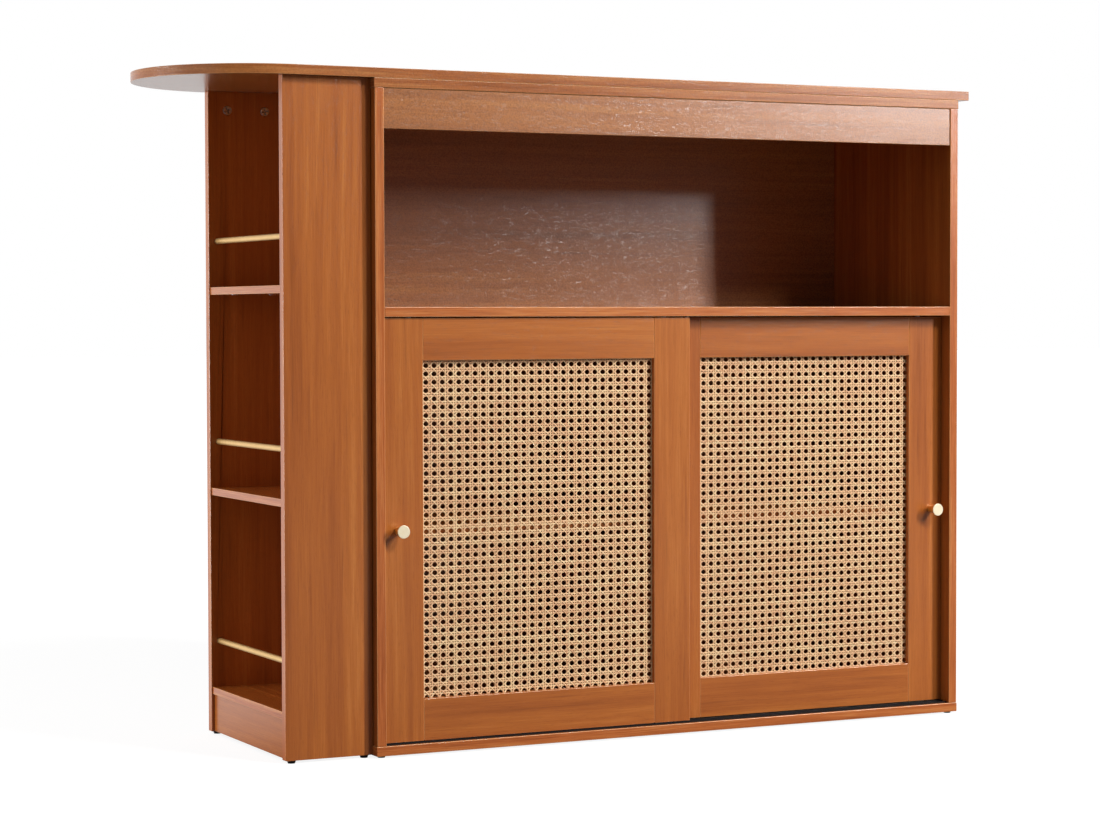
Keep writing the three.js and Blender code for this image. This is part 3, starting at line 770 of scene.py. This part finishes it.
def woven_sheet(door):
    """Four layers of strands between the sheet's edges, on a grid of gaps hung from the frame.

    Places in the sheet are counted in pitches from one gap. Upright and level pairs lie half way
    between gaps, and on a slant across minus or plus up is a whole number and a half."""
    low, high = (np.array(corner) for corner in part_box(f"{door}_cane"))
    home = (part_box(f"{door}_left_stile")[1].x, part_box(f"{door}_top_rail")[0].z)
    origin = np.array(home) + FIRST_GAP[door]
    level = (low[1] + high[1]) / 2
    (u0, v0), (u1, v1) = (low[[0, 2]] - origin) / CANE_PITCH, (high[[0, 2]] - origin) / CANE_PITCH

    def half_way(first, last, margin):
        return np.arange(np.ceil(first + margin - 0.5), last - margin - 0.5) + 0.5

    def pairs(first, last, spread):
        lines = half_way(first, last, 2 * spread)
        both = (lines[:, None] + np.array([-spread, spread])).ravel()
        return both, np.tile([1.0, -1.0], len(lines))

    def over_under(pitches, sign):
        wave = 2 * np.pi * pitches
        return sign * PAIR_LIFT * np.sin(wave) * (1 - np.cos(wave)) / 2

    def lay(layer, start, end, lift, width):
        ends = (origin + CANE_PITCH * np.stack(place, 1) for place in (start, end))

        def lift_at(at, which):
            return lift((at - origin) / CANE_PITCH, which)

        return weave_strands(f"{door}_cane_{layer}", *ends, lift_at, width, level)

    spread = PAIR_SPREAD / CANE_PITCH
    upright, upright_sign = pairs(u0, u1, spread[0])
    flat, flat_sign = pairs(v0, v1, spread[1])
    yield lay(
        "upright_pairs",
        (upright, np.full_like(upright, v0)),
        (upright, np.full_like(upright, v1)),
        lambda at, which: -over_under(at[:, 1], upright_sign[which]),
        PAIR_WIDTH,
    )
    yield lay(
        "level_pairs",
        (np.full_like(flat, u0), flat),
        (np.full_like(flat, u1), flat),
        lambda at, which: over_under(at[:, 0], flat_sign[which]),
        PAIR_WIDTH,
    )
    for slant, rise in (("rising", 1.0), ("falling", -1.0)):
        bounds = np.array([u0, u1])[:, None] - rise * np.array([v0, v1])
        line = half_way(bounds.min(), bounds.max(), SLANT_MARGIN)
        reach = np.sort(np.stack([line + rise * v0, line + rise * v1], 1), axis=1)
        begin, stop = np.maximum(reach[:, 0], u0), np.minimum(reach[:, 1], u1)
        yield lay(
            f"{slant}_slants",
            (begin, rise * (begin - line)),
            (stop, rise * (stop - line)),
            lambda at, which: -rise * SLANT_LIFT * np.cos(2 * np.pi * at[:, 1]),
            SLANT_WIDTH,
        )


cane = finish("split_cane", split_cane)
for door in ("left_door", "right_door"):
    for layer in woven_sheet(door):
        stand_for(layer, f"{door}_cane", door, cane)

# Knobs: turned brass pulls that flare from a narrow foot to a flat face with a bevelled rim, each
# held by a screw through the stile from behind.

KNOB_RIM, KNOB_FOOT, KNOB_FLARE = 0.0008, 0.0056, 1.8
KNOB_FACE_RINGS = np.array([0.0004, 0.002])
FLARE_RISE = np.linspace(0, 1, 28)
RIM_LEANS = np.radians(np.linspace(0, 85, 8))


def knob_brass(start):
    """Turned brass, fine rings: the forward face painted pale, a painted highlight; the neck deep
    gold.
    """
    where = start.add("TexCoord", {}, {}, out="Object")
    turn_mark = start.add("Mapping", {}, {"Vector": where, "Scale": (0.1, 1.0, 0.1)})
    line = start.add("TexNoise", {}, {"Vector": turn_mark, "Scale": 6000.0, "Detail": 2.0})
    cloud = start.add("TexNoise", {}, {"Vector": where, "Scale": 160.0, "Detail": 2.0})
    facing = start.add("SeparateXYZ", {}, {0: start.add("NewGeometry", {}, {}, out="Normal")})
    # The face that looks forward is painted pale and less metallic, a painted highlight.
    painted_face_highlight = start.math("MULTIPLY", facing.out("Y") + 0.15, -2.0, clamp=True)
    neck = cloud.blend(paint("e09a34"), paint("f2b656"))
    face = cloud.blend(paint("ecdcb6"), paint("f5e8cb"))
    bump = {"Strength": 0.08, "Distance": 0.0001, "Height": line}
    return {
        "Base Color": painted_face_highlight.blend(neck, face),
        "Metallic": 0.55 - painted_face_highlight * 0.25,
        "Roughness": 0.34 + line * 0.14,
        "Normal": start.add("Bump", {}, bump),
    }


turned_brass = finish("turned_brass", knob_brass)
for door in ("left_door", "right_door"):
    low, high = (np.array(corner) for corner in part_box(f"{door}_knob"))
    centre = ((low[0] + high[0]) / 2, high[1], (low[2] + high[2]) / 2)
    face, length = (high[0] - low[0]) / 2, high[1] - low[1]
    neck = KNOB_FOOT + (face - KNOB_FOOT) * FLARE_RISE**KNOB_FLARE
    flare = np.stack([neck, (length - 2 * KNOB_RIM) * FLARE_RISE], 1)
    rim_radius = face - KNOB_RIM * (1 - np.cos(RIM_LEANS))
    rim = np.stack([rim_radius, length - KNOB_RIM * (1 - np.sin(RIM_LEANS))], 1)
    flat_face = np.stack([face - KNOB_RIM - KNOB_FACE_RINGS, np.full(2, length)], 1)
    knob = turned(f"{door}_knob_turned", np.concatenate([flare, rim, flat_face]), centre)
    stand_for(knob, f"{door}_knob", door, turned_brass)
    dress(f"{door}_knob_screw", zinc)

# Shoes and guide pins: off-white nylon mouldings. The shoes under each door slide in the track, and
# the pins in its top edge run in the slots of the middle shelf.


def nylon_moulding(start):
    """Off-white nylon, slightly cloudy, with a soft moulded skin."""
    where = start.add("TexCoord", {}, {}, out="Object")
    cloud = start.add("TexNoise", {}, {"Vector": where, "Scale": 180.0, "Detail": 2.0})
    grit = start.add("TexNoise", {}, {"Vector": where, "Scale": 2400.0, "Detail": 2.0})
    bump = {"Strength": 0.1, "Distance": 0.0001, "Height": grit}
    return {
        "Base Color": cloud.blend(paint("dcd8cc"), paint("efece4")),
        "Roughness": 0.38 + grit * 0.2,
        "Normal": start.add("Bump", {}, bump),
    }


nylon = finish("nylon_moulding", nylon_moulding)
for door in ("left_door", "right_door"):
    for side in ("left", "right"):
        dress(f"{door}_{side}_shoe", nylon)
        dress(f"{door}_{side}_guide", nylon)

# Studio: a plain pale floor that runs out of sight, a white wall behind the counter and a dim room
# in front of it. A tall strip lamp and a square one stand at the front right, the square one higher
# up, and a wide low one at the left.


def studio_rays(start):
    """Rays that show the setting: those of the camera, and those of mirror-like or clear faces."""
    path = start.add("LightPath", {}, {})
    mirrored = start.math("MAXIMUM", path.out("Is Glossy Ray"), path.out("Is Transmission Ray"))
    return path.out("Is Camera Ray"), mirrored


def smooth_rise(start, value, span, levels):
    """Goes from the first level to the second as the value crosses the span, eased at its ends."""
    ends = {"Value": value, "From Min": span[0], "From Max": span[1]}
    ends.update({"To Min": levels[0], "To Max": levels[1]})
    return start.add("MapRange", {"interpolation_type": "SMOOTHSTEP"}, ends)


WHITE = (1, 1, 1, 1)
FLOOR_GREY = (0.2, 0.2, 0.2, 1)
FLOOR_REACH = 40.0
MIRRORED_FLOOR = (-0.3, 0.7)
FLOOR_GLOW, GLOW_FADE = (0.87, 1.0), (1.0, 4.5)
floor_mesh = bpy.data.meshes.new("floor")
floor_corners = FLOOR_REACH * np.array([(-1, -1, 0), (1, -1, 0), (1, 1, 0), (-1, 1, 0)])
floor_mesh.from_pydata(floor_corners.tolist(), [], [(0, 1, 2, 3)])
floor = bpy.data.objects.new("floor", floor_mesh)
bpy.context.scene.collection.objects.link(floor)
floor_paint = bpy.data.materials.new("pale_floor")
floor_paint.use_nodes = True
floor_tree = floor_paint.node_tree
floor_tree.nodes.remove(floor_tree.nodes["Principled BSDF"])
floor_start = Wire(floor_tree)
by_camera, by_mirror = studio_rays(floor_start)
matt = floor_start.add("BsdfDiffuse", {}, {"Color": FLOOR_GREY})
floor_place = floor_start.add("TexCoord", {}, {}, out="Object")
past = floor_start.add("SeparateXYZ", {}, {0: floor_place}).out("Y")
far_floor = smooth_rise(floor_start, past, MIRRORED_FLOOR, (0.0, 1.0))
away = floor_start.add("VectorMath", {"operation": "LENGTH"}, {0: floor_place}, out="Value")
white_floor = smooth_rise(floor_start, away, GLOW_FADE, FLOOR_GLOW)
shown = floor_start.math("MAXIMUM", by_camera, by_mirror * far_floor) * white_floor
glow = floor_start.add("Emission", {}, {"Color": WHITE, "Strength": shown})
lit_floor = floor_start.add("AddShader", {}, {0: matt, 1: glow})
floor_tree.links.new(lit_floor.socket, floor_tree.nodes["Material Output"].inputs["Surface"])
floor_mesh.materials.append(floor_paint)

ROOM, WALL = 0.06, 0.9
WALL_HEADING = {"X": -0.6, "Y": 0.8}
WALL_EDGE = (-0.15, 0.35)
world = bpy.data.worlds.new("white_wall_and_room")
world.use_nodes = True
world_start = Wire(world.node_tree)
heading = world_start.add("TexCoord", {}, {}, out="Generated")
compass = world_start.add("SeparateXYZ", {}, {0: heading})
behind = compass.out("Y") * WALL_HEADING["Y"] + compass.out("X") * WALL_HEADING["X"]
wall = smooth_rise(world_start, behind, WALL_EDGE, (0.0, 1.0))
by_camera, by_mirror = studio_rays(world_start)
white = world_start.math("MAXIMUM", by_camera, by_mirror * wall)
dim = wall * (WALL - ROOM) + ROOM
backdrop = world.node_tree.nodes["Background"]
backdrop.inputs["Color"].default_value = WHITE
world.node_tree.links.new((white + dim * (1 - white)).socket, backdrop.inputs["Strength"])
bpy.context.scene.world = world


def soft_lamp(name, place, aim, width, height, power):
    """A rectangular lamp turned to its aim. It lights the counter and isn't seen itself."""
    light = bpy.data.lights.new(name, "AREA")
    light.shape, light.size, light.size_y, light.energy = "RECTANGLE", width, height, power
    lamp = bpy.data.objects.new(name, light)
    lamp.location = place
    lamp.rotation_euler = (Vector(place) - Vector(aim)).to_track_quat("Z", "Y").to_euler()
    lamp.visible_camera = False
    bpy.context.scene.collection.objects.link(lamp)


soft_lamp("strip_lamp", (3.6, -4.24, 2.73), (0.10, -0.18, 0.60), 0.42, 2.1, 285.0)
soft_lamp("high_lamp", (2.2, -4.6, 4.4), (0.0, -0.18, 0.6), 1.0, 1.0, 200.0)
soft_lamp("left_lamp", (-3.2, 0.9, 0.53), (-0.53, 0.0, 0.53), 1.6, 1.0, 56.0)

# Camera: at the photograph's place, solved from the counter's edges. It looks slightly down and has
# a slight roll, and its lens is given by its focal length in the photograph's pixels.

CAMERA_PLACE = (-1.99552, -4.03281, 0.67574)
YAW, PITCH, ROLL = 0.459183, 0.034998, -0.002267
SENSOR_WIDTH, FOCAL_PIXELS, PHOTO_WIDTH = 36.0, 2740.737, 1100
forward = np.array([np.sin(YAW) * np.cos(PITCH), np.cos(YAW) * np.cos(PITCH), -np.sin(PITCH)])
level_right = np.array([np.cos(YAW), -np.sin(YAW), 0.0])
straight_up = np.cross(level_right, forward)
camera_right = np.cos(ROLL) * level_right + np.sin(ROLL) * straight_up
camera_up = np.cos(ROLL) * straight_up - np.sin(ROLL) * level_right
lens = bpy.data.cameras.new("camera")
lens.sensor_width, lens.lens = SENSOR_WIDTH, SENSOR_WIDTH * FOCAL_PIXELS / PHOTO_WIDTH
camera = bpy.data.objects.new("camera", lens)
camera_pose = np.eye(4)
camera_pose[:3] = np.stack([camera_right, camera_up, -forward, CAMERA_PLACE], 1)
camera.matrix_world = Matrix(camera_pose.tolist())
bpy.context.scene.collection.objects.link(camera)
bpy.context.scene.camera = camera
bpy.context.scene.view_settings.view_transform = "Standard"
